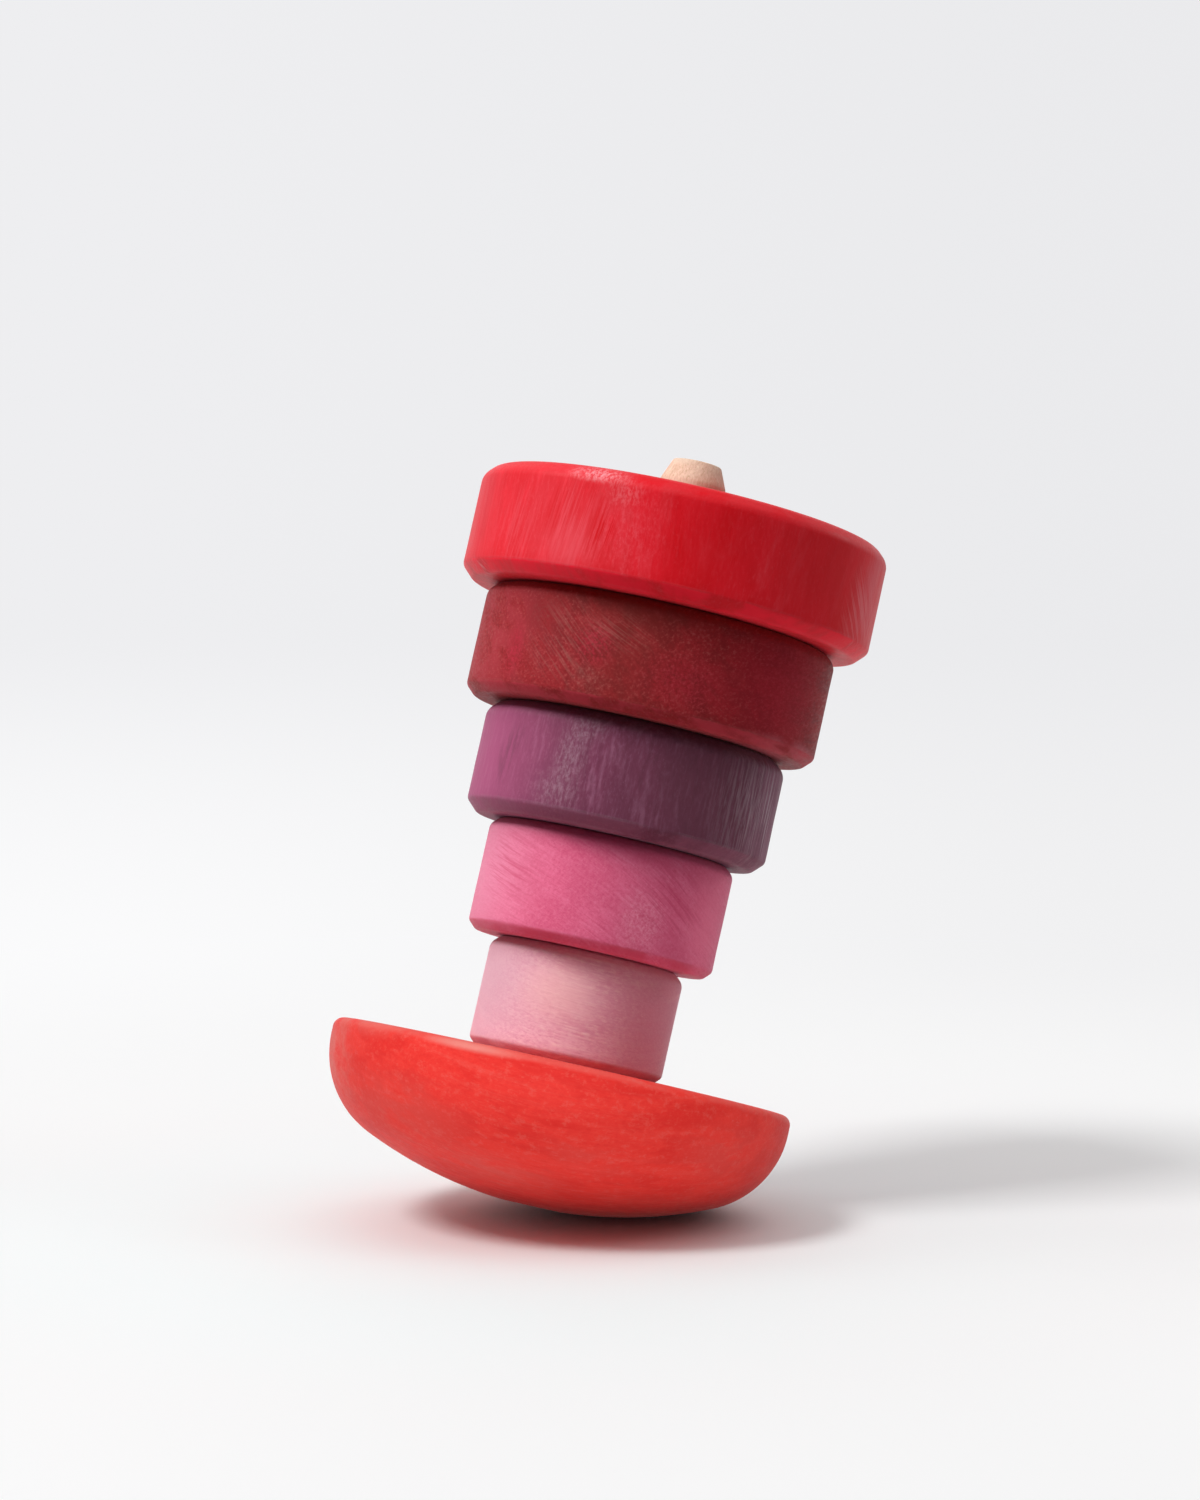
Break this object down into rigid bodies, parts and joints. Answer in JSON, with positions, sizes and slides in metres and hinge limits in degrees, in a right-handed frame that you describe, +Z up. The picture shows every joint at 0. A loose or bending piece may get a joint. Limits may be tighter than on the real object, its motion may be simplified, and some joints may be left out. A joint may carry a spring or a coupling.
{
  "type": "stacking tower",
  "caption": "Wooden wobbly stacking tower: a domed rocker base with a glued-in peg that carries loose stained discs, smallest at the bottom, which lift off one after another.",
  "frame": {"origin": "centre of the small flat at the middle of the dome, on the peg's axis, where the tower stands upright", "axes": "+Z up along the peg, away from the dome; X and Y lie in the plane of the rest flat and are alike, because every piece is turned about Z"},
  "size_m": [0.094, 0.094, 0.1539],
  "materials": {
    "coral_red_stain": "water stain, satin oil",
    "bare_wood": "sanded, unstained",
    "pale_pink_stain": "water stain, satin oil",
    "pink_stain": "water stain, satin oil",
    "plum_stain": "water stain, satin oil",
    "dark_red_stain": "water stain, satin oil",
    "bright_red_stain": "water stain, satin oil"
  },
  "bodies": {
    "base": {"rocker_base": "coral_red_stain", "peg": "bare_wood"},
    "pale_pink": {"disc_pale_pink": "pale_pink_stain"},
    "pink": {"disc_pink": "pink_stain"},
    "plum": {"disc_plum": "plum_stain"},
    "dark_red": {"disc_dark_red": "dark_red_stain"},
    "bright_red": {"disc_bright_red": "bright_red_stain"}
  },
  "joints": [
    {"name": "lift_pale_pink", "type": "slide", "parent": "base", "child": "pale_pink", "axis": [0, 0, 1], "range_m": [0, 0.14]},
    {"name": "lift_pink", "type": "slide", "parent": "pale_pink", "child": "pink", "axis": [0, 0, 1], "range_m": [0, 0.117]},
    {"name": "lift_plum", "type": "slide", "parent": "pink", "child": "plum", "axis": [0, 0, 1], "range_m": [0, 0.094]},
    {"name": "lift_dark_red", "type": "slide", "parent": "plum", "child": "dark_red", "axis": [0, 0, 1], "range_m": [0, 0.071]},
    {"name": "lift_bright_red", "type": "slide", "parent": "dark_red", "child": "bright_red", "axis": [0, 0, 1], "range_m": [0, 0.048]}
  ]
}
